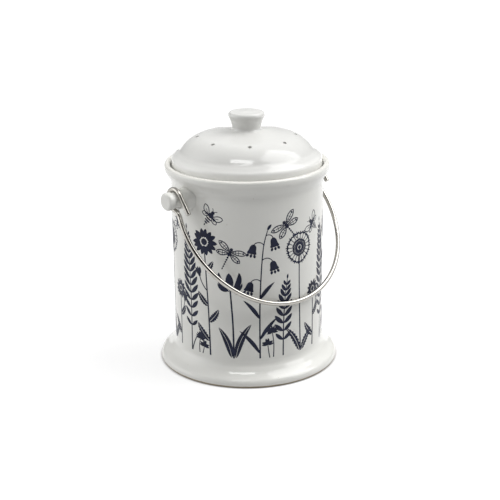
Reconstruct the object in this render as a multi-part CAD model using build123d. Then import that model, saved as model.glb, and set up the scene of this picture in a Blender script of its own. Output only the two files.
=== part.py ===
from build123d import *
import math
import os

# A one-gallon ceramic compost keeper: a glazed crock on a flared foot, a domed lid with vent
# holes and a knob, a steel wire bail that hangs on two lugs, and a charcoal filter held up
# inside the lid by a spoked retainer.
# Millimetres, +Z up. The origin is on the table, at the centre of the foot. The lugs lie
# along X, and the bail hangs towards -Y, resting on the front of the crock.

os.makedirs("parts", exist_ok=True)

# Crock
body_r = 82.0  # outside of the straight body
wall = 5.5
floor_t = 8.0
crock_h = 223.0  # table to the top of the rim
floor_round = 12.0  # inside, between the wall and the floor
inside_round = 1.2  # other inside corners
arris = 0.8  # small outside edges

# Foot of the crock
foot_out = 16.5  # how far the foot stands out from the body
foot_rise = 20.5  # where the flare meets the body
foot_step_out = 7.6  # the flare's steep part, from the body outwards
foot_step_drop = 8.6
foot_step_round = 18.0
foot_top_round = 9.0  # hollow between the flare and the body
foot_edge = 6.8  # height of the upright edge
foot_edge_round = 7.0
foot_bevel = 1.5  # bare clay, below the glaze
ring_w = 13.0  # the ring that it stands on
recess = 3.0  # the underside, above the table

# Rim of the crock
rim_out = 6.8  # how far the rim stands out from the body
rim_band = 6.5  # upright part of the rim
rim_round = 8.0  # between the band and the flare
flare_h = 12.0  # the flare below that band
flare_round = 15.0  # hollow between the flare and the body
lip_round = 2.8  # both edges of the rim's top
gallery_wall = 6.5  # rim wall round the lid
gallery_depth = 7.5  # from the top of the rim down to the shelf

# Lugs
lug_drop = 25.4  # lug axis, below the top of the rim
boss_r = 10.4
boss_flare = 4.0  # how much wider the boss is where it meets the body
boss_flare_h = 5.0
boss_sink = 1.0  # the flare starts this far under the body's surface
collar_round = 1.6  # edge of the boss, beside the neck
neck_r = 8.5
head_r = 9.4
head_t = 6.5
head_round = 2.4

# Bail
wire_d = 5.0
cut_round = 0.4  # edge of the cut ends
bail_out = 17.5  # centre line of the bow, outside the body
leg_l = 40.4  # from the lug axis to the centre of the bow
leg_bend_r = 12.0  # bend between the bow and the leg
leg_set_back = 4.8  # the bow's plane, behind the lug axis
hook_in = 2.6  # how far each hook stands in from the widest part of the bow
hook_easing_r = 10.0  # bend between the leg and the hook
tail_l = 23.2  # from the lug axis to the cut end

# Lid
flange_t = 13.0  # upright edge of the lid, from its seat up
flange_round = 1.4  # lower end of that edge
flange_top_round = 4.0
bead_rise = 3.7  # from that edge up to the rounded bead
bead_in = 4.3
bead_round = 30.0
valley_rise = 2.9  # from the bead up to the valley under the dome
valley_in = 4.4
valley_round = 10.0
shoulder_rise = 14.2  # from the valley up to the crown
shoulder_in = 11.3
shoulder_round = 38.0
crown_rise = 7.8  # from the shoulder up to the knob
lid_wall = 5.0
ring_depth = 12.0  # locating ring, below the flange
ring_wall = 4.8
ring_round = 2.0
vent_d = 4.2
vent_count = 8
vent_ring_r = 52.6
vent_turn = 8.8  # degrees between +X and the first vent hole

# Knob
knob_foot_r = 14.6
knob_foot_round = 3.0
knob_top_r = 17.1  # top of the tapered stem
stem_h = 10.1
cap_r = 19.5
cap_side = 4.8  # from the stem up to the cap's widest part
cap_round = 3.4
cap_h = 9.8
cap_crown = 0.7  # rise of the cap's slightly domed top
cap_crown_r = 11.0  # where that rise starts
cap_crown_round = 24.0
relief_r = 7.0  # blind hole up inside the knob, so that it fires evenly
relief_h = 11.0
relief_round = 3.0

# Filter and its retainer
filter_t = 8.0
filter_round = 0.8
retainer_t = 4.5
retainer_w = 4.0
spoke_w = 4.0
spoke_t = 2.4
spoke_count = 6
hub_r = 13.0
hub_bore_r = 8.0
retainer_round = 0.7

# Clearances
seat_gap = 0.3  # faces that rest on each other
wire_gap = 0.3  # wire to the neck, and to the boss beside it
wire_play = 3.4  # wire to the head of the lug
bail_gap = 0.3  # wire to the front of the crock
flange_gap = 1.4  # lid edge to the gallery wall
locating_gap = 1.2  # locating ring to the bore
filter_gap = 0.3  # filter or retainer to the locating ring

# Sizes worked out from the ones above
bore_r = body_r - wall
foot_r = body_r + foot_out
rim_r = body_r + rim_out
gallery_r = rim_r - gallery_wall
shelf_z = crock_h - gallery_depth
lug_z = crock_h - lug_drop
wire_r = wire_d / 2
bail_r = body_r + bail_out
hook_r = neck_r + wire_gap + wire_r
hook_x = bail_r - hook_in
neck_in = hook_x - wire_r - wire_gap
neck_out = hook_x + wire_r + wire_play
lug_end = neck_out + head_t

flange_r = gallery_r - flange_gap
seat_z = shelf_z + seat_gap
ring_r = bore_r - locating_gap
ring_bore_r = ring_r - ring_wall
flange_z = seat_z + flange_t
bead = (flange_r - bead_in, flange_z + bead_rise)
valley = (bead[0] - valley_in, bead[1] + valley_rise)
shoulder = (valley[0] - shoulder_in, valley[1] + shoulder_rise)
knob_foot = (knob_foot_r, shoulder[1] + crown_rise)
stem_z = knob_foot[1] + stem_h


def normal(start, end):
    """The left-hand unit normal of a step in the (r, z) plane."""
    dr = end[0] - start[0]
    dz = end[1] - start[1]
    length = math.hypot(dr, dz)
    return -dz / length, dr / length


def inset_corner(before, corner, after, inset):
    """An outline's corner, moved in by a wall thickness."""
    n1 = normal(before, corner)
    n2 = normal(corner, after)
    share = inset / (1 + n1[0] * n2[0] + n1[1] * n2[1])
    return corner[0] - share * (n1[0] + n2[0]), corner[1] - share * (n1[1] + n2[1])


# The inside of the dome: its shoulder, its flank down to the locating ring, and its crown
inner_shoulder = inset_corner(knob_foot, shoulder, valley, lid_wall)
flank = (shoulder[1] - valley[1]) / (valley[0] - shoulder[0])
crown = (knob_foot[1] - shoulder[1]) / (shoulder[0] - knob_foot[0])
inner_flank_z = inner_shoulder[1] - flank * (ring_bore_r - inner_shoulder[0])
inner_crown_z = inner_shoulder[1] + crown * (inner_shoulder[0] - relief_r)

disc_r = ring_bore_r - filter_gap
filter_low_z = inner_flank_z - seat_gap - filter_t
retainer_top_z = filter_low_z - seat_gap
retainer_low_z = retainer_top_z - retainer_t


def turned(outline):
    """A solid of revolution about Z, from a list of corners (r, z), each with its rounding radius."""
    corners = [(r, 0, z) for (r, z), _ in outline]
    radii = [radius for _, radius in outline]
    return revolve(make_face(FilletPolyline(*corners, radius=radii, close=True)), Axis.Z, 360)


def crock_shell():
    foot_step = (body_r + foot_step_out, foot_rise - foot_step_drop)
    outline = [
        ((0, recess), 0),
        ((foot_r - ring_w, recess), inside_round),
        ((foot_r - ring_w, 0), arris),
        ((foot_r - foot_bevel, 0), arris),
        ((foot_r, foot_bevel), arris),
        ((foot_r, foot_edge), foot_edge_round),
        (foot_step, foot_step_round),
        ((body_r, foot_rise), foot_top_round),
        ((body_r, crock_h - rim_band - flare_h), flare_round),
        ((rim_r, crock_h - rim_band), rim_round),
        ((rim_r, crock_h), lip_round),
        ((gallery_r, crock_h), lip_round),
        ((gallery_r, shelf_z), inside_round),
        ((bore_r, shelf_z), arris),
        ((bore_r, recess + floor_t), floor_round),
        ((0, recess + floor_t), 0),
    ]
    return turned(outline)


def lug():
    """The spool on +X, from inside the body's wall out to the end of the head."""
    root_x = body_r - wall / 2
    flare_x = body_r - boss_sink
    # Here r is the distance from the lug's axis, and z the distance from the crock's axis.
    outline = [
        ((0, root_x), 0),
        ((boss_r + boss_flare, root_x), 0),
        ((boss_r + boss_flare, flare_x), 0),
        ((boss_r, flare_x + boss_flare_h), boss_flare_h),
        ((boss_r, neck_in), collar_round),
        ((neck_r, neck_in), 0),
        ((neck_r, neck_out), 0),
        ((head_r, neck_out), 0),
        ((head_r, lug_end), head_round),
        ((0, lug_end), 0),
    ]
    return Pos(0, 0, lug_z) * Rot(0, 90, 0) * turned(outline)


def crock():
    down = (Align.CENTER, Align.CENTER, Align.MAX)
    bore = Pos(0, 0, shelf_z) * Cylinder(bore_r, crock_h / 2, align=down)
    gallery = Pos(0, 0, crock_h) * Cylinder(gallery_r, gallery_depth, align=down)
    spool = lug() - bore - gallery
    return crock_shell() + spool + mirror(spool, Plane.YZ)


def lid():
    relief_z = knob_foot[1] - lid_wall + relief_h
    outline = [
        ((0, stem_z + cap_h), 0),
        ((cap_crown_r, stem_z + cap_h - cap_crown), cap_crown_round),
        ((cap_r, stem_z + cap_h - cap_crown), cap_round),
        ((cap_r, stem_z + cap_side), cap_round),
        ((knob_top_r, stem_z), arris),
        (knob_foot, knob_foot_round),
        (shoulder, shoulder_round),
        (valley, valley_round),
        (bead, bead_round),
        ((flange_r, flange_z), flange_top_round),
        ((flange_r, seat_z), flange_round),
        ((ring_r, seat_z), inside_round),
        ((ring_r, seat_z - ring_depth), ring_round),
        ((ring_bore_r, seat_z - ring_depth), ring_round),
        ((ring_bore_r, inner_flank_z), inside_round),
        (inner_shoulder, shoulder_round - lid_wall),
        ((relief_r, inner_crown_z), relief_round),
        ((relief_r, relief_z), relief_round),
        ((0, relief_z), 0),
    ]
    body = turned(outline)
    drill = Cylinder(vent_d / 2, shoulder_rise + lid_wall)
    for k in range(vent_count):
        turn = vent_turn + k * 360 / vent_count
        body -= Rot(0, 0, turn) * Pos(vent_ring_r, 0, shoulder[1]) * drill
    return body


def bail_rest_angle():
    """How far the bow leans forward from hanging straight down, in degrees."""
    middle = leg_l + bail_r
    reach = math.hypot(middle, leg_set_back)
    touch = body_r + bail_gap + wire_r
    return math.degrees(math.asin(touch / reach) + math.atan2(leg_set_back, middle))


def bail_path():
    """The wire's centre line, hanging straight down from the lug axis at z = 0."""
    # In the bow's plane: a bend outside the bow, tangent to it and to the upright leg.
    bend_x = hook_x + leg_bend_r
    bend_rise = math.sqrt((bail_r + leg_bend_r) ** 2 - bend_x**2)
    bow_share = bail_r / (bail_r + leg_bend_r)
    # In the hook's plane: a bend behind the hook, tangent to it and to the leg.
    ease_y = leg_set_back + hook_easing_r
    ease_drop = math.sqrt((hook_r + hook_easing_r) ** 2 - ease_y**2)
    hook_share = hook_r / (hook_r + hook_easing_r)
    edges = []
    bow_ends = []
    for side in (-1, 1):
        x = side * hook_x
        bow_end = Vector(side * bend_x * bow_share, leg_set_back, bend_rise * bow_share - leg_l)
        leg_low = Vector(x, leg_set_back, bend_rise - leg_l)
        leg_top = Vector(x, leg_set_back, -ease_drop)
        hook_start = Vector(x, ease_y * hook_share, -ease_drop * hook_share)
        hook_end = Vector(x, -hook_r, 0)
        edges.append(TangentArc(leg_low, bow_end, tangent=(0, 0, -1)))
        edges.append(Line(leg_low, leg_top))
        edges.append(TangentArc(leg_top, hook_start, tangent=(0, 0, 1)))
        edges.append(ThreePointArc(hook_start, Vector(x, 0, hook_r), hook_end))
        edges.append(Line(hook_end, Vector(x, -hook_r, -tail_l)))
        bow_ends.append(bow_end)
    bottom = Vector(0, leg_set_back, -leg_l - bail_r)
    edges.append(ThreePointArc(bow_ends[0], bottom, bow_ends[1]))
    return Wire([e.edge() for e in edges])


def bail_handle():
    path = bail_path()
    section = Plane(origin=path @ 0, z_dir=path % 0) * Circle(wire_r)
    wire = sweep(section, path=path)
    cut_edges = wire.faces().filter_by(GeomType.PLANE).edges()
    wire = fillet(cut_edges, cut_round)
    return Pos(0, 0, lug_z) * Rot(-bail_rest_angle(), 0, 0) * wire


def charcoal_filter():
    up = (Align.CENTER, Align.CENTER, Align.MIN)
    disc = Pos(0, 0, filter_low_z) * Cylinder(disc_r, filter_t, align=up)
    return fillet(disc.edges().filter_by(GeomType.CIRCLE), filter_round)


def filter_retainer():
    inner_r = disc_r - retainer_w
    outline = [
        ((inner_r, retainer_low_z), retainer_round),
        ((disc_r, retainer_low_z), retainer_round),
        ((disc_r, retainer_top_z), retainer_round),
        ((inner_r, retainer_top_z), retainer_round),
    ]
    down = (Align.CENTER, Align.CENTER, Align.MAX)
    top = Pos(0, 0, retainer_top_z)
    body = turned(outline) + top * Cylinder(hub_r, spoke_t, align=down)
    outwards = (Align.MIN, Align.CENTER, Align.MAX)
    bar = Box(disc_r - retainer_w / 2, spoke_w, spoke_t, align=outwards)
    for k in range(spoke_count):
        body += Rot(0, 0, k * 360 / spoke_count) * top * bar
    return body - top * Cylinder(hub_bore_r, 2 * retainer_t)


def write(name, shape):
    export_step(shape, f"parts/{name}.step")


write("crock", crock())
write("lid", lid())
write("bail_handle", bail_handle())
write("charcoal_filter", charcoal_filter())
write("filter_retainer", filter_retainer())
print("bail leans", round(bail_rest_angle(), 3), "degrees; lug axis at", lug_z)
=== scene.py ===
import math
import random

import bpy
from mathutils import Matrix, Vector, noise


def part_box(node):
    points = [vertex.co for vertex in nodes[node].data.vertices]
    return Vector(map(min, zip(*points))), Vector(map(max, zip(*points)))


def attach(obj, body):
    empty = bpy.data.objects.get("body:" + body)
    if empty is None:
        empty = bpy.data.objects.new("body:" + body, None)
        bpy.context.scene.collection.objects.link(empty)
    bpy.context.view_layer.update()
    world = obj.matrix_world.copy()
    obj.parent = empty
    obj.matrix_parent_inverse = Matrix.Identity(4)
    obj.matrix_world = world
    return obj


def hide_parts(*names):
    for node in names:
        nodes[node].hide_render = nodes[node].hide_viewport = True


# Looks for the ceramic compost keeper. Metres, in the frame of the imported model: +Z up, the
# lugs along X, the bail hanging towards -Y.

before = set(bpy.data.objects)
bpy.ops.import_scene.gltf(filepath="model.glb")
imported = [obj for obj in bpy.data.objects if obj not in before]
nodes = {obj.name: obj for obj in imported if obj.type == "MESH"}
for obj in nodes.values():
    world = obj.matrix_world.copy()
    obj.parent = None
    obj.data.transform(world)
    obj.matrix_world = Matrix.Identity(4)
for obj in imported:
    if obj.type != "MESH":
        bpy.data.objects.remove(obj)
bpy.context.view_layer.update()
scene = bpy.context.scene
scene.view_settings.view_transform = "Standard"
collection = scene.collection

MM = 0.001


# --- camera, floor and light ---

# The camera, fitted to the photo: its turn from -Y towards -X, its tilt down, its small turn
# and roll in the frame, its place beside the axis of the crock, and its lens
VIEW_TURN = math.radians(39.6)
PITCH, YAW, ROLL = math.radians(19.01), 0.002, -0.0098
CAMERA_AWAY, CAMERA_UP = -1.1966, 0.5333
FRAME_PX, FOCAL_PX, SENSOR = 500, 1146.64, 36.0

FLOOR_HALF = 6.0
FLOOR_TONE, FLOOR_GLOW = 0.5, 0.6
# Distances from the axis: the glow starts just outside the foot, so that the contact shadow
# stays dark, and grows to full white far off, where the lamps' light falls away
GLOW_STARTS = 97.0 * MM, 101.0 * MM
GLOW_GROWS = 1.0, 3.0

# The world's lobes: turn (degrees right of the camera), rise, strength and how narrow each is
WORLD_LOBES = (
    (120, 55, 1.42, 12.0),
    (180, 55, 0.33, 12.0),
    (90, 15, 0.57, 12.0),
    (-90, 15, 2.58, 12.0),
    (180, 15, 0.58, 12.0),
)
LAMP_AIM = Vector((0, 0, 0.14))


def beside_camera(right, away, up):
    """A direction or point given as right of, away from and above the camera's own axis."""
    return Vector(
        (
            right * math.cos(VIEW_TURN) + away * math.sin(VIEW_TURN),
            -right * math.sin(VIEW_TURN) + away * math.cos(VIEW_TURN),
            up,
        )
    )


def light_direction(turn, rise):
    """Towards a light that stands turn degrees right of the camera and rise degrees up."""
    turn, rise = math.radians(turn), math.radians(rise)
    return beside_camera(
        math.sin(turn) * math.cos(rise), -math.cos(turn) * math.cos(rise), math.sin(rise)
    )


def make_camera():
    ahead = beside_camera(
        math.sin(YAW) * math.cos(PITCH), math.cos(YAW) * math.cos(PITCH), -math.sin(PITCH)
    )
    side = ahead.cross(Vector((0, 0, 1))).normalized()
    up = side.cross(ahead)
    right = math.cos(ROLL) * side + math.sin(ROLL) * up
    top = -math.sin(ROLL) * side + math.cos(ROLL) * up
    data = bpy.data.cameras.new("camera")
    data.sensor_width = SENSOR
    data.lens = FOCAL_PX / FRAME_PX * SENSOR
    data.clip_start, data.clip_end = 0.05, 50.0
    camera = bpy.data.objects.new("camera", data)
    turn = Matrix((right, top, -ahead)).transposed().to_4x4()
    place = beside_camera(0, CAMERA_AWAY, CAMERA_UP)
    camera.matrix_world = Matrix.Translation(place) @ turn
    collection.objects.link(camera)
    scene.camera = camera


def nodes_of(material):
    material.use_nodes = True
    tree = material.node_tree
    tree.nodes.clear()
    return tree


class Tree:
    """A short way to write a node tree. Inputs are sockets to link or plain values."""

    def __init__(self, tree):
        self.tree = tree

    def add(self, kind, inputs=(), **settings):
        node = self.tree.nodes.new(kind)
        for key, value in settings.items():
            setattr(node, key, value)
        for key, value in dict(inputs).items():
            if isinstance(value, bpy.types.NodeSocket):
                self.tree.links.new(value, node.inputs[key])
            else:
                node.inputs[key].default_value = value
        return node

    def math(self, operation, a, b=0.0, c=0.0):
        return self.add("ShaderNodeMath", {0: a, 1: b, 2: c}, operation=operation).outputs[0]

    def noise(self, vector, scale, detail=2.0, rough=0.5):
        inputs = {"Vector": vector, "Scale": scale, "Detail": detail, "Roughness": rough}
        return self.add("ShaderNodeTexNoise", inputs).outputs["Fac"]

    def ramp(self, value, low, high, out_low=0.0, out_high=1.0):
        """From out_low at low to out_high at high, and level beyond."""
        inputs = {
            "Value": value,
            "From Min": low,
            "From Max": high,
            "To Min": out_low,
            "To Max": out_high,
        }
        return self.add("ShaderNodeMapRange", inputs, clamp=True).outputs["Result"]

    def mix(self, factor, a, b):
        """From colour a at 0 to colour b at 1."""
        node = self.add("ShaderNodeMix", {0: factor}, data_type="RGBA")
        for key, value in ((6, a), (7, b)):  # its two colour inputs
            if isinstance(value, bpy.types.NodeSocket):
                self.tree.links.new(value, node.inputs[key])
            else:
                node.inputs[key].default_value = (*value, 1.0)
        return node.outputs[2]  # its colour output

    def bump(self, height, distance):
        inputs = {"Height": height, "Distance": distance, "Strength": 1.0}
        return self.add("ShaderNodeBump", inputs).outputs["Normal"]

    def surface(self, shader):
        self.add("ShaderNodeOutputMaterial", {"Surface": shader})


def seen_directly(t):
    """1 for rays from the camera, from gloss and through glass, which see the white studio."""
    path = t.add("ShaderNodeLightPath").outputs
    seen = t.math("MAXIMUM", path["Is Camera Ray"], path["Is Glossy Ray"])
    return t.math("MAXIMUM", seen, path["Is Transmission Ray"])


def make_world():
    """A studio, as the light of a few broad lobes, which gloss shows too. Seen directly, or
    through glass, it is plain white.
    """
    world = bpy.data.worlds.new("studio")
    scene.world = world
    world.use_nodes = True
    world.node_tree.nodes.clear()
    t = Tree(world.node_tree)
    path = t.add("ShaderNodeLightPath").outputs
    toward = t.add("ShaderNodeTexCoord").outputs["Generated"]
    studio = 0.0
    for turn, rise, strength, narrow in WORLD_LOBES:
        inputs = {0: toward, 1: light_direction(turn, rise)}
        dot = t.add("ShaderNodeVectorMath", inputs, operation="DOT_PRODUCT").outputs["Value"]
        half = t.math("MULTIPLY_ADD", dot, 0.5, 0.5)
        lobe = t.math("POWER", t.math("MAXIMUM", half, 0.0), narrow)
        studio = t.math("MULTIPLY_ADD", lobe, strength, studio)
    seen = t.math("MAXIMUM", path["Is Camera Ray"], path["Is Transmission Ray"])
    strength = t.math("MULTIPLY_ADD", seen, t.math("SUBTRACT", 1.0, studio), studio)
    back = t.add("ShaderNodeBackground", {"Color": (1, 1, 1, 1), "Strength": strength})
    t.add("ShaderNodeOutputWorld", {"Surface": back.outputs[0]})


def make_floor():
    mesh = bpy.data.meshes.new("floor")
    s = FLOOR_HALF
    mesh.from_pydata([(-s, -s, 0), (s, -s, 0), (s, s, 0), (-s, s, 0)], [], [(0, 1, 2, 3)])
    floor = bpy.data.objects.new("floor", mesh)
    collection.objects.link(floor)
    material = bpy.data.materials.new("white_floor")
    t = Tree(nodes_of(material))
    diffuse = t.add("ShaderNodeBsdfDiffuse", {"Color": (FLOOR_TONE, FLOOR_TONE, FLOOR_TONE, 1)})
    place = t.add("ShaderNodeTexCoord").outputs["Object"]
    from_axis = t.add("ShaderNodeVectorMath", {0: place}, operation="LENGTH").outputs["Value"]
    open_floor = t.ramp(from_axis, *GLOW_STARTS)
    level = t.ramp(from_axis, *GLOW_GROWS, FLOOR_GLOW, 1.0)
    strength = t.math("MULTIPLY", t.math("MULTIPLY", seen_directly(t), level), open_floor)
    glow = t.add("ShaderNodeEmission", {"Color": (1, 1, 1, 1), "Strength": strength})
    both = t.add("ShaderNodeAddShader", {0: diffuse.outputs[0], 1: glow.outputs[0]})
    t.surface(both.outputs[0])
    mesh.materials.append(material)


def lamp(name, turn, rise, distance, width, height, power):
    """A softbox, turn degrees right of the camera and rise degrees up, seen from LAMP_AIM."""
    out = light_direction(turn, rise)
    data = bpy.data.lights.new(name, "AREA")
    data.shape = "RECTANGLE"
    data.size, data.size_y = width, height
    data.energy = power
    obj = bpy.data.objects.new(name, data)
    obj.location = LAMP_AIM + out * distance
    obj.rotation_mode = "QUATERNION"
    obj.rotation_quaternion = out.to_track_quat("Z", "Y")
    collection.objects.link(obj)


make_camera()
make_world()
make_floor()
lamp("overhead_box", turn=-16, rise=67, distance=2.5, width=1.10, height=0.42, power=10.4)
lamp("window_box", turn=92, rise=52, distance=1.5, width=1.10, height=1.20, power=13.5)


# --- materials: the colours are linear, and each pair runs from one to the other ---

WHITE = (0.80, 0.80, 0.765), (0.84, 0.838, 0.80)
# Painted shade: the lid's glaze is a darker copy of the crock's white
LID_SHADED_WHITE = (0.70, 0.70, 0.68), (0.735, 0.734, 0.71)
# Painted light: a lighter white on the lid's flange
PAINTED_LIGHT_WHITE = (0.885, 0.883, 0.855)
THIN_GLAZE = (0.84, 0.79, 0.70)
SPECK = (0.42, 0.36, 0.27)
CLAY = (0.36, 0.28, 0.19), (0.62, 0.53, 0.40)
STEEL = (0.47, 0.455, 0.425), (0.39, 0.375, 0.345)
NAVY = (0.0055, 0.0073, 0.020), (0.0165, 0.022, 0.055)
PALE_NAVY = (0.038, 0.046, 0.092)
PLASTIC = (0.74, 0.74, 0.71), (0.80, 0.80, 0.78)
CARBON = (0.006, 0.006, 0.007), (0.055, 0.055, 0.058)

# The crock's glaze stops just above the table and thins at its rim, and the lid's flange is
# painted lighter, as painted light
FOOT_EDGE, CROCK_TOP, LID_PAINTED_LIGHT_TOP = 1.7 * MM, 223 * MM, 231 * MM
WAVE_SCALE, WAVE_HEIGHT = 22.0, 0.55 * MM  # the glaze's faint waviness, and the ink's on it


def glaze(name, low, high, foot_edge=None, rim=None, tint_shift=None):
    """Glossy white glaze. Below foot_edge the clay is bare, it thins over the rim's edge, and
    below the height in its last argument it is painted lighter, as painted light.
    """
    material = bpy.data.materials.new(name)
    t = Tree(nodes_of(material))
    place = t.add("ShaderNodeTexCoord").outputs["Object"]
    z = t.add("ShaderNodeSeparateXYZ", {"Vector": place}).outputs["Z"]
    wave = t.noise(place, WAVE_SCALE, 3.0)
    peel = t.noise(place, 260.0, 2.0)
    tone = t.ramp(t.noise(place, 9.0, 4.0, 0.55), 0.35, 0.65)
    colour = t.mix(tone, low, high)
    # Pinholes and pale iron specks, as fired clay has, in a few of the cells
    cells = t.add("ShaderNodeTexVoronoi", {"Vector": place, "Scale": 210.0})
    spot = t.ramp(cells.outputs["Distance"], 0.07, 0.12, 1.0, 0.0)
    lot = t.add("ShaderNodeSeparateColor", {"Color": cells.outputs["Color"]}).outputs[0]
    speck = t.math("MULTIPLY", spot, t.math("GREATER_THAN", lot, 0.965))
    colour = t.mix(t.math("MULTIPLY", speck, 0.45), colour, SPECK)
    height = t.math("MULTIPLY_ADD", peel, 0.08, wave)
    height = t.math("MULTIPLY_ADD", speck, -0.25, height)
    if rim is not None:
        edge = t.ramp(z, rim - 2.2 * MM, rim - 0.2 * MM)
        colour = t.mix(t.math("MULTIPLY", edge, 0.2), colour, THIN_GLAZE)
    # Painted light: the lid is painted lighter below the given height, on its flange
    if tint_shift is not None:
        colour = t.mix(t.ramp(z, tint_shift - 2.0 * MM, tint_shift + 2.0 * MM, 1.0, 0.0), colour, PAINTED_LIGHT_WHITE)
    shader = t.add(
        "ShaderNodeBsdfPrincipled",
        {
            "Base Color": colour,
            "Roughness": t.ramp(t.noise(place, 60.0, 3.0), 0.3, 0.7, 0.07, 0.12),
            "IOR": 1.52,
            "Normal": t.bump(height, WAVE_HEIGHT),
        },
    ).outputs[0]
    if foot_edge is not None:
        grain = t.noise(place, 900.0, 4.0, 0.7)
        clay = t.add(
            "ShaderNodeBsdfPrincipled",
            {
                "Base Color": t.mix(grain, *CLAY),
                "Roughness": 0.85,
                "Normal": t.bump(grain, 0.12 * MM),
            },
        ).outputs[0]
        line = t.math("MULTIPLY_ADD", t.noise(place, 45.0, 3.0), 0.9 * MM, foot_edge)
        bare = t.ramp(t.math("SUBTRACT", z, line), -0.15 * MM, 0.15 * MM, 1.0, 0.0)
        shader = t.add("ShaderNodeMixShader", {0: bare, 1: shader, 2: clay}).outputs[0]
    t.surface(shader)
    return material


def steel():
    material = bpy.data.materials.new("polished_steel")
    t = Tree(nodes_of(material))
    place = t.add("ShaderNodeTexCoord").outputs["Object"]
    fine = t.noise(place, 1500.0, 3.0, 0.7)
    smear = t.noise(place, 70.0, 3.0)
    shader = t.add(
        "ShaderNodeBsdfPrincipled",
        {
            "Base Color": t.mix(t.ramp(smear, 0.3, 0.7), *STEEL),
            "Metallic": 1.0,
            "Roughness": t.ramp(smear, 0.3, 0.7, 0.12, 0.20),
            "Normal": t.bump(fine, 0.02 * MM),
        },
    )
    t.surface(shader.outputs[0])
    return material


def navy_ink():
    """Cobalt ink on the glaze: it pools darker in places, and is duller than the white."""
    material = bpy.data.materials.new("navy_ink")
    t = Tree(nodes_of(material))
    place = t.add("ShaderNodeTexCoord").outputs["Object"]
    tint_shift = t.ramp(t.noise(place, 170.0, 4.0, 0.6), 0.35, 0.68)
    grain = t.ramp(t.noise(place, 1500.0, 3.0, 0.7), 0.25, 0.75)
    shader = t.add(
        "ShaderNodeBsdfPrincipled",
        {
            "Base Color": t.mix(t.math("MULTIPLY", grain, 0.25), t.mix(tint_shift, *NAVY), PALE_NAVY),
            "Roughness": t.ramp(t.noise(place, 60.0, 3.0), 0.3, 0.7, 0.30, 0.42),
            "IOR": 1.5,
            "Specular IOR Level": 0.16,
            "Normal": t.bump(t.noise(place, WAVE_SCALE, 3.0), WAVE_HEIGHT),
        },
    )
    t.surface(shader.outputs[0])
    return material


def plastic():
    material = bpy.data.materials.new("satin_plastic")
    t = Tree(nodes_of(material))
    place = t.add("ShaderNodeTexCoord").outputs["Object"]
    grain = t.noise(place, 1400.0, 2.0)
    cloud = t.noise(place, 40.0, 3.0)
    shader = t.add(
        "ShaderNodeBsdfPrincipled",
        {
            "Base Color": t.mix(cloud, *PLASTIC),
            "Roughness": t.ramp(grain, 0.3, 0.7, 0.38, 0.5),
            "Normal": t.bump(grain, 0.03 * MM),
        },
    )
    t.surface(shader.outputs[0])
    return material


def foam():
    material = bpy.data.materials.new("carbon_foam")
    t = Tree(nodes_of(material))
    place = t.add("ShaderNodeTexCoord").outputs["Object"]
    cells = t.add("ShaderNodeTexVoronoi", {"Vector": place, "Scale": 650.0}).outputs["Distance"]
    dust = t.noise(place, 500.0, 4.0, 0.7)
    # Painted shade: darker towards the middle of each cell, in the pits of the bump
    shade = t.math("MULTIPLY", t.ramp(cells, 0.1, 0.7), dust)
    shader = t.add(
        "ShaderNodeBsdfPrincipled",
        {
            "Base Color": t.mix(shade, *CARBON),
            "Roughness": 0.93,
            "Sheen Weight": 0.15,
            "Normal": t.bump(cells, 0.9 * MM),
        },
    )
    t.surface(shader.outputs[0])
    return material


def wear(obj, material):
    obj.data.materials.clear()
    obj.data.materials.append(material)


wear(nodes["crock"], glaze("crock_glaze", *WHITE, foot_edge=FOOT_EDGE, rim=CROCK_TOP))
wear(nodes["lid"], glaze("lid_glaze", *LID_SHADED_WHITE, tint_shift=LID_PAINTED_LIGHT_TOP))
wear(nodes["bail_handle"], steel())
wear(nodes["filter_retainer"], plastic())
INK = navy_ink()
FOAM = foam()


# --- the print: a meadow in navy ink, of thin closed solids that follow the crock's wall ---

# Lengths of the print in mm, angles in degrees
WALL_R = 82.0  # outside of the crock's straight body
FRONT = math.radians(-129.6)  # where s = 0 lies: the side that faces the camera
GROUND = 27.0  # height above the table where the stems start
REPEATS = 3  # times the meadow goes round the wall
REPEAT = 2 * math.pi * WALL_R / REPEATS
INK_TOP, INK_EDGE, INK_LOW = 0.075, 0.015, -0.12  # heights of the ink over the wall
WIDTH_CHANCE, TOP_CHANCE = 0.04, 0.012  # how far each stroke's width and top stray
LEAST_HALF = 0.06  # half the width of a pointed end
BEVEL, BEVEL_SHARE = 0.18, 0.4  # width of a stroke's sloping edge, and its most of the half width
FLAT = 2.4  # widest strip of a stroke's top, so that it follows the round wall
chance = random.Random(41)


def bow(start, heading, length, turn, steps):
    """Points of a plain curve that turns by turn. Headings lie to the right of straight up."""
    x, y = start
    points = [start]
    for k in range(steps):
        a = math.radians(heading + turn * (k + 0.5) / steps)
        x += math.sin(a) * length / steps
        y += math.cos(a) * length / steps
        points.append((x, y))
    return points


def smooth(points, steps):
    """A curve through all the points, with steps points on each span."""
    ends = [points[0]] + list(points) + [points[-1]]
    out = []
    for p0, p1, p2, p3 in zip(ends, ends[1:], ends[2:], ends[3:]):
        for k in range(steps):
            t = k / steps
            row = []
            for a, b, c, d in zip(p0, p1, p2, p3):
                curve = 2 * a - 5 * b + 4 * c - d
                row.append(b + 0.5 * t * (c - a + t * (curve + t * (3 * b - a - 3 * c + d))))
            out.append(tuple(row))
    return out + [points[-1]]


def along(points, share):
    """The point that share of the way along a curve, and the heading there."""
    place = share * (len(points) - 1)
    k = min(int(place), len(points) - 2)
    (x0, y0), (x1, y1) = points[k], points[k + 1]
    t = place - k
    heading = math.degrees(math.atan2(x1 - x0, y1 - y0))
    return (x0 + t * (x1 - x0), y0 + t * (y1 - y0)), heading


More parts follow.
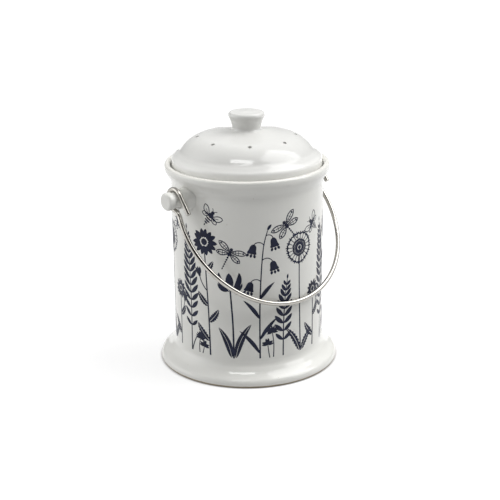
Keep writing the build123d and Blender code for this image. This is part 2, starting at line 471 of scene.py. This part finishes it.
class Ink:
    """One kind of motif, drawn flat in mm and laid on the wall."""

    def __init__(self, name):
        self.name = name
        self.verts, self.faces = [], []
        self.put(0, 0)

    def put(self, s, z, turn=0.0, flip=1, scale=1.0):
        """Where the next strokes are drawn: s along the wall, z above the table. flip is -1 for
        a mirror image.
        """
        self.origin, self.flip, self.scale = (s, z), flip, scale
        self.turn = math.radians(turn)

    def on_wall(self, x, y, h):
        """The place on the wall of a flat point, h above the wall."""
        c, s = math.cos(self.turn), math.sin(self.turn)
        x *= self.flip
        x, y = self.scale * (x * c + y * s), self.scale * (y * c - x * s)
        angle = FRONT + (self.origin[0] + x) / WALL_R
        r = WALL_R + h
        return r * math.cos(angle) * MM, r * math.sin(angle) * MM, (self.origin[1] + y) * MM

    def stroke(self, path, halves, loop=False):
        """A band along a path, with the half width at each of its points."""
        wider = 1 + chance.uniform(-WIDTH_CHANCE, WIDTH_CHANCE)
        top = INK_TOP + chance.uniform(-TOP_CHANCE, TOP_CHANCE)
        inner = max(0, math.ceil(2 * max(halves) / FLAT) - 1)
        first = len(self.verts)
        count = len(path)
        ring = 6 + inner
        # A closed tube: a top of flat strips, a bevel on each side, and an underside in the wall
        for k, (x, y) in enumerate(path):
            ahead = path[(k + 1) % count] if loop else path[min(k + 1, count - 1)]
            back = path[k - 1] if loop else path[max(k - 1, 0)]
            dx, dy = ahead[0] - back[0], ahead[1] - back[1]
            size = math.hypot(dx, dy)
            nx, ny = dy / size, -dx / size
            w = max(halves[k], LEAST_HALF) * wider
            e = min(BEVEL, BEVEL_SHARE * w)
            across = [(-w, INK_EDGE), (e - w, top)]
            across += [((w - e) * (2 * (j + 1) / (inner + 1) - 1), top) for j in range(inner)]
            across += [(w - e, top), (w, INK_EDGE), (w, INK_LOW), (-w, INK_LOW)]
            self.verts += [self.on_wall(x + o * nx, y + o * ny, h) for o, h in across]
        for k in range(count if loop else count - 1):
            a, b = first + k * ring, first + (k + 1) % count * ring
            for j in range(ring):
                i = (j + 1) % ring
                face = (a + j, a + i, b + i, b + j)
                self.faces.append(face[::-1] if self.flip > 0 else face)
        if not loop:
            low = tuple(range(first, first + ring))
            high = tuple(range(first + (count - 1) * ring, first + count * ring))
            self.faces.append(low if self.flip > 0 else low[::-1])
            self.faces.append(high[::-1] if self.flip > 0 else high)

    def stem(self, points, low, high, steps=5):
        """A smooth stroke, low wide at its start and high wide at its end."""
        path = smooth(points, steps)
        n = len(path) - 1
        self.stroke(path, [low / 2 + (high - low) / 2 * k / n for k in range(n + 1)])
        return path

    def leaf(self, start, heading, length, width, turn=0.0, peak=1.0, blunt=0.75, steps=9):
        """Pointed at both ends. peak under 1 moves the widest part outwards, over 1 inwards."""
        halves = []
        for k in range(steps + 1):
            t = k / steps
            w = width / 2 * math.sin(math.pi * t ** (1 / peak)) ** blunt if 0 < t < 1 else 0.0
            halves.append(w)
        self.stroke(bow(start, heading, length, turn, steps), halves)

    def disc(self, centre, radius, steps=8):
        """A round spot, as a stroke from its bottom to its top."""
        path, halves = [], []
        for k in range(steps + 1):
            a = math.pi * k / steps
            path.append((centre[0], centre[1] - radius * math.cos(a)))
            halves.append(radius * math.sin(a))
        self.stroke(path, halves)

    def make(self):
        """One piece of all the strokes so far. It rides on the crock."""
        mesh = bpy.data.meshes.new(self.name)
        mesh.from_pydata(self.verts, [], self.faces)
        mesh.validate()
        obj = bpy.data.objects.new(self.name, mesh)
        collection.objects.link(obj)
        mesh.materials.append(INK)
        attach(obj, "crock")


def split_leaf(ink, start, heading, length, width, turn, teeth=0.0, steps=12):
    """A leaf in two halves, with the white of the glaze left between them as its midrib. teeth
    is the share by which every other point of its edge is drawn in.
    """
    spine = bow(start, heading, length, turn, steps)
    for side in (-1, 1):
        path, halves = [], []
        for k, (x, y) in enumerate(spine):
            w = width / 4 * math.sin(math.pi * (k / steps) ** 0.8) ** 0.7 if k < steps else 0.0
            if teeth and k % 2:
                w *= 1 - teeth
            halves.append(w)
            a = math.radians(heading + turn * k / steps + 90 * side)
            out = w + 0.22
            path.append((x + out * math.sin(a), y + out * math.cos(a)))
        ink.stroke(path, halves)


def daisy(ink, height, lean, petals, size, leaves):
    """leaves lists the share of the stem and the side of each."""
    bends = [(0, 0), (lean * 0.1, height * 0.35), (lean * 0.6, height * 0.72), (lean, height)]
    path = ink.stem(bends, 1.9, 1.3)
    hx, hy = path[-1]
    hy += 3.0 * size
    for k in range(petals):
        a = 360 * (k + 0.5) / petals + chance.uniform(-4, 4)
        r = math.radians(a)
        start = (hx + 3.4 * size * math.sin(r), hy + 3.4 * size * math.cos(r))
        length = chance.uniform(6.9, 7.9) * size
        bend = chance.uniform(-12, 12)
        ink.leaf(start, a, length, 4.1 * size, bend, peak=1.6, blunt=0.55, steps=8)
    ink.disc((hx, hy), 2.7 * size)
    for share, side in leaves:
        start, heading = along(path, share)
        length = (26 - 16 * share) * chance.uniform(0.92, 1.08)
        width = 8.2 - 2.6 * share
        split_leaf(ink, start, heading + side * 52, length, width, -side * 26, 0.3, 15)
    start, heading = along(path, 0.55)
    twig = bow(start, heading - 46, 19, 36, 7)
    ink.stroke(twig, [0.6] * len(twig))
    (bx, by), a = along(twig, 1.0)
    for k in (-1, 0, 1):
        ink.leaf((bx, by), a + 27 * k, 9.5, 3.9, -16 * k, peak=1.2, steps=7)
    ink.disc((bx, by), 1.7, 6)


def fern(ink, height, lean, pairs, reach, curls):
    """curls lists the sides on which a young frond rolls up at its foot."""
    bends = [(0, 0), (lean * 0.08, height * 0.4), (lean * 0.45, height * 0.75), (lean, height)]
    path = ink.stem(bends, 1.7, 0.8)
    for k in range(pairs):
        share = 0.19 + 0.76 * k / pairs
        start, heading = along(path, share)
        rise = math.sin(math.pi * min(1.0, (k + 3.4) / (pairs + 3.9)) ** 0.9)
        length = 3.5 + reach * rise
        for way in (-1, 1):
            tilt = way * (64 - 24 * share) + chance.uniform(-3, 3)
            ink.leaf(start, heading + tilt, length, 2.3 + 2.6 * rise, -way * 22, peak=1.0, steps=8)
    end, heading = along(path, 1.0)
    ink.leaf(end, heading, 6.0, 2.2, steps=6)
    for way in curls:
        curl = bow((way * 0.6, 0), way * 13, 25, way * 24, 8)
        ink.stroke(curl, [0.75 - 0.03 * k for k in range(9)])
        (cx, cy), a = along(curl, 1.0)
        crozier = bow((cx, cy), a, 17, way * 470, 18)
        ink.stroke(crozier, [0.50 + 0.34 * k / 18 for k in range(19)])


def tulip(ink, height, lean, size):
    path = ink.stem([(0, 0), (lean * 0.2, height * 0.5), (lean, height)], 2.0, 1.7, 7)
    (hx, hy), heading = along(path, 1.0)
    ink.leaf((hx, hy - 0.6), heading, 16 * size, 6.4 * size, peak=0.9, blunt=0.7, steps=10)
    for way in (-1, 1):
        start, a = (hx + way * 1.0, hy - 0.5), heading + way * 58
        ink.leaf(start, a, 19 * size, 4.8 * size, -way * 66, peak=0.95, blunt=0.7, steps=12)
        start, a = (hx + way * 2.6, hy + 0.1), heading + way * 92
        ink.leaf(start, a, 11.5 * size, 2.6 * size, -way * 82, peak=1.1)
    for way, length in ((1, 0.56), (-1, 0.48)):
        split_leaf(ink, (way * 2.4, 0.5), way * 6, height * length, 7.0, way * 34)


def harebell(ink, height, lean):
    bends = [(0, 0), (-lean * 0.15, height * 0.45), (lean * 0.25, height * 0.84), (lean, height)]
    path = ink.stem(bends, 1.7, 0.9, 6)
    for share, way, reach in ((0.46, -1, 12), (0.60, 1, 13), (0.74, -1, 12), (0.88, 1, 9)):
        start, heading = along(path, share)
        twig = bow(start, heading + way * 40, reach, way * 108, 7)
        ink.stroke(twig, [0.5] * len(twig))
        bx, by = twig[-1]
        hang = 180 - way * 14
        shape = bow((bx, by), hang, 10.5, 0, 9)
        ink.stroke(shape, [1.0, 2.5, 3.2, 3.5, 3.7, 3.85, 4.1, 4.6, 5.2, 4.6])
        tx, ty = shape[-1]
        r = math.radians(hang - 90)
        for k in (-1, 0, 1):
            foot = (tx + 2.9 * k * math.sin(r), ty + 2.9 * k * math.cos(r))
            ink.leaf(foot, hang - 24 * k, 4.2, 3.0, peak=1.0, steps=5)
        for k in (-1, 1):
            ink.leaf((bx, by), hang - 62 * k, 3.6, 1.1, 30 * k, steps=5)
    end, heading = along(path, 1.0)
    ink.leaf(end, heading + 6, 8.0, 3.2, 26, peak=0.9, steps=7)
    for share, way in ((0.04, -1), (0.13, 1), (0.24, -1), (0.35, 1)):
        start, heading = along(path, share)
        ink.leaf(start, heading + way * 27, 36 - 34 * share, 4.2, way * 24, peak=1.2, steps=10)


def seedhead(ink, height, lean, radius):
    bends = [(0, 0), (lean * 0.7, height * 0.4), (lean * 1.1, height * 0.75), (lean, height)]
    path = ink.stem(bends, 1.8, 1.3)
    hx, hy = path[-1]
    hy += 1.0
    ink.disc((hx, hy), 2.2, 7)
    rays = 20
    for k in range(rays):
        for reach, turn in ((1.0, 0.0), (0.60, 180 / rays)):
            far = radius * reach * chance.uniform(0.94, 1.03)
            a = 360 * (k + 0.3) / rays + turn
            r = math.radians(a)
            foot = (hx + 3.0 * math.sin(r), hy + 3.0 * math.cos(r))
            ray = bow(foot, a, far - 3.0, 0, 2)
            ink.stroke(ray, [0.50, 0.42, 0.40])
            tip = ray[-1]
            if reach < 1:
                ink.disc(tip, 1.15, 6)
                continue
            for fan in (-50, 0, 50):
                ink.leaf(tip, a + fan, 3.9, 1.7, steps=4)
    for way, length, tilt in ((1, 27, 22), (-1, 35, 16)):
        split_leaf(ink, (way * 1.6, 0.5), way * tilt, length, 8.0, way * 30, 0.35, 17)


def clover(ink, s, height, way):
    ink.put(s, GROUND, 0, way)
    path = ink.stem([(-2.2, 0), (-2.6, height * 0.5), (-1.0, height)], 1.2, 0.9, 4)
    (hx, hy), heading = along(path, 1.0)
    for k in range(-4, 5):
        ink.leaf((hx, hy), heading + 25 * k, 8.2 - abs(k) * 0.35, 2.7, peak=1.6, steps=6)
    path = ink.stem([(2.0, 0), (3.4, height * 0.3), (4.2, height * 0.55)], 1.1, 0.9, 4)
    (hx, hy), heading = along(path, 1.0)
    for fan in (-82, 0, 82):
        for half in (-1, 1):
            turn = heading + fan + half * 19
            ink.leaf((hx, hy), turn, 6.6, 3.2, -half * 14, peak=1.5, blunt=0.6, steps=7)


def wing(ink, start, heading, length, half_width, sweep, late, line):
    """The outline of a wing. late over 1 moves its widest part outwards, line is half its
    stroke's width. Returns the 11 points of its middle line.
    """
    steps = 10
    spine = bow(start, heading, length, sweep, steps)
    r = math.radians(heading + 90)
    up, low = [], []
    for k, (x, y) in enumerate(spine):
        w = half_width * math.sin(math.pi * (k / steps) ** late) ** 0.7 if 0 < k < steps else 0.0
        up.append((x + w * math.sin(r), y + w * math.cos(r)))
        low.append((x - w * math.sin(r), y - w * math.cos(r)))
    outline = up[:-1] + low[:0:-1]
    ink.stroke(outline, [line] * len(outline), loop=True)
    return spine


def dragonfly(ink, s, z, turn, way, scale):
    ink.put(s, z, turn, way, scale)
    ink.disc((0, 4.0), 1.7, 6)
    ink.leaf((0, 3.0), 180, 6.6, 3.4, blunt=0.6, steps=7)
    for k in range(6):
        ink.leaf((0, -3.6 - 2.5 * k), 180, 2.4, 1.9 - 0.12 * k, blunt=0.4, steps=4)
    for side in (-1, 1):
        for heading, length, sweep in ((66, 14.5, 10), (113, 12.5, -8)):
            start = (0.8 * side, 1.5 if heading < 90 else -0.4)
            spine = wing(ink, start, side * heading, length, 2.5, side * sweep, 1.25, 0.52)
            ink.stroke(spine[1:8], [0.36] * 7)
            for k in (3, 5):
                x, y = spine[k]
                r = math.radians(side * heading + 90)
                rib = [(x - 2.0 * math.sin(r), y - 2.0 * math.cos(r)), (x, y)]
                rib.append((x + 2.0 * math.sin(r), y + 2.0 * math.cos(r)))
                ink.stroke(rib, [0.22] * 3)
            ink.disc(spine[8], 1.0, 5)


def bee(ink, s, z, turn, way, scale):
    ink.put(s, z, turn, way, scale)
    for y, w in ((-3.8, 1.5), (-1.9, 2.4), (0.1, 2.7)):
        band = [(-w, y + 0.3), (-w * 0.5, y), (0, y - 0.1), (w * 0.5, y), (w, y + 0.3)]
        ink.stroke(band, [0.35, 0.68, 0.72, 0.68, 0.35])
    ink.leaf((0, -4.9), 180, 2.2, 1.2, steps=4)
    ink.leaf((0, 1.3), 0, 4.6, 4.8, blunt=0.5, steps=7)
    ink.disc((0, 6.4), 1.5, 6)
    for side in (-1, 1):
        ink.stroke(bow((0.5 * side, 7.4), side * 24, 2.8, side * 40, 4), [0.26] * 5)
        root = (1.7 * side, 2.8)
        for heading, length, half in ((66, 9.0, 2.3), (118, 6.2, 1.6)):
            spine = wing(ink, root, side * heading, length, half, -side * 16, 1.2, 0.36)
            ink.stroke(spine[1:7], [0.22] * 6)


def draw_print():
    daisies, ferns = Ink("print_daisies"), Ink("print_ferns")
    bells, seeds = Ink("print_bells"), Ink("print_seedheads")
    tulips, insects, sprigs = Ink("print_tulips"), Ink("print_insects"), Ink("print_sprigs")
    for k in range(REPEATS):
        s = k * REPEAT
        ferns.put(s - 69, GROUND, 1, 1)
        fern(ferns, 136, -7, 14, 13.0, (1,))
        daisies.put(s - 43, GROUND, -1, 1)
        daisy(daisies, 123, -3, 14, 1.40, leaves=((0.15, -1), (0.30, 1), (0.43, -1), (0.72, 1)))
        tulips.put(s - 16, GROUND, 0, 1)
        tulip(tulips, 76, -3, 1.3)
        bells.put(s + 12, GROUND, 1, 1)
        harebell(bells, 142, 6)
        ferns.put(s + 38, GROUND, 0, -1)
        fern(ferns, 86, -5, 9, 11.0, ())
        seeds.put(s + 61, GROUND, 0, 1)
        seedhead(seeds, 117, -2, 14.5)
        daisies.put(s + 82, GROUND, 1, -1)
        daisy(daisies, 62, 1, 12, 1.0, leaves=((0.2, 1), (0.52, -1)))
        for where, height, way in ((24.5, 29, -1), (-55, 17, 1)):
            clover(sprigs, s + where, height, way)
        dragonfly(insects, s - 19, 145, 26, 1, 1.1)
        dragonfly(insects, s + 42, 172, -40, -1, 1.15)
        bee(insects, s + 83, 164, -50, 1, 1.35)
        bee(insects, s - 42, 180, 38, -1, 1.35)
    for motif in (daisies, ferns, bells, seeds, tulips, insects, sprigs):
        motif.make()


draw_print()


# --- the charcoal filter: open-celled foam in place of its plain solid ---


EDGE, BEVEL_IN = 0.9, 0.27  # how far its rounded edge reaches, and the middle of it, mm
CENTRE_R = 0.5  # radius of the small flat face at the middle, mm
RINGS, AROUND = 44, 200  # the mesh's steps outwards and round
PIT_MEAN, PIT_SPREAD, PIT_MOST = 0.30, 0.42, 0.75  # depth of the pits, mm
WALL_HALF, FACE_FROM = 3.2, 2.6  # the wall is sunk up to here, and the faces from here, mm


def make_filter():
    low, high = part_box("charcoal_filter")
    radius, bottom, top = high[0] / MM, low[2] / MM, high[2] / MM
    inside = radius - BEVEL_IN
    profile = [(CENTRE_R, top)]
    profile += [(radius * k / RINGS, top) for k in range(1, RINGS)]
    profile += [(radius - EDGE, top), (inside, top - BEVEL_IN), (radius, top - EDGE)]
    profile += [(radius, top + (bottom - top) * k / 6) for k in range(2, 5)]
    profile += [(radius, bottom + EDGE), (inside, bottom + BEVEL_IN), (radius - EDGE, bottom)]
    profile += [(radius * k / RINGS, bottom) for k in range(RINGS - 1, 0, -1)]
    profile += [(CENTRE_R, bottom)]
    middle = (top + bottom) / 2
    verts, faces = [], []
    for r, z in profile:
        for k in range(AROUND):
            a = 2 * math.pi * k / AROUND
            place = Vector((r * math.cos(a), r * math.sin(a), z))
            pits = noise.noise(place * 0.9) + 0.6 * noise.noise(place * 2.1)
            sink = min(PIT_MOST, max(0.0, PIT_MEAN + PIT_SPREAD * pits))
            over = z - middle
            inward = Vector((-math.cos(a), -math.sin(a), 0)) if abs(over) < WALL_HALF else Vector()
            inward.z = -1 if over > FACE_FROM else (1 if -over > FACE_FROM else 0)
            verts.append((place + inward * sink) * MM)
    rings = len(profile)
    for i in range(rings - 1):
        for k in range(AROUND):
            n = (k + 1) % AROUND
            a, b = i * AROUND, (i + 1) * AROUND
            faces.append((a + k, b + k, b + n, a + n))
    faces.append(tuple(range(AROUND)))
    faces.append(tuple(range((rings - 1) * AROUND, rings * AROUND))[::-1])
    mesh = bpy.data.meshes.new("carbon_filter_disc")
    mesh.from_pydata(verts, [], faces)
    mesh.materials.append(FOAM)
    disc = bpy.data.objects.new("carbon_filter_disc", mesh)
    collection.objects.link(disc)
    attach(disc, "filter")
    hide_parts("charcoal_filter")


make_filter()
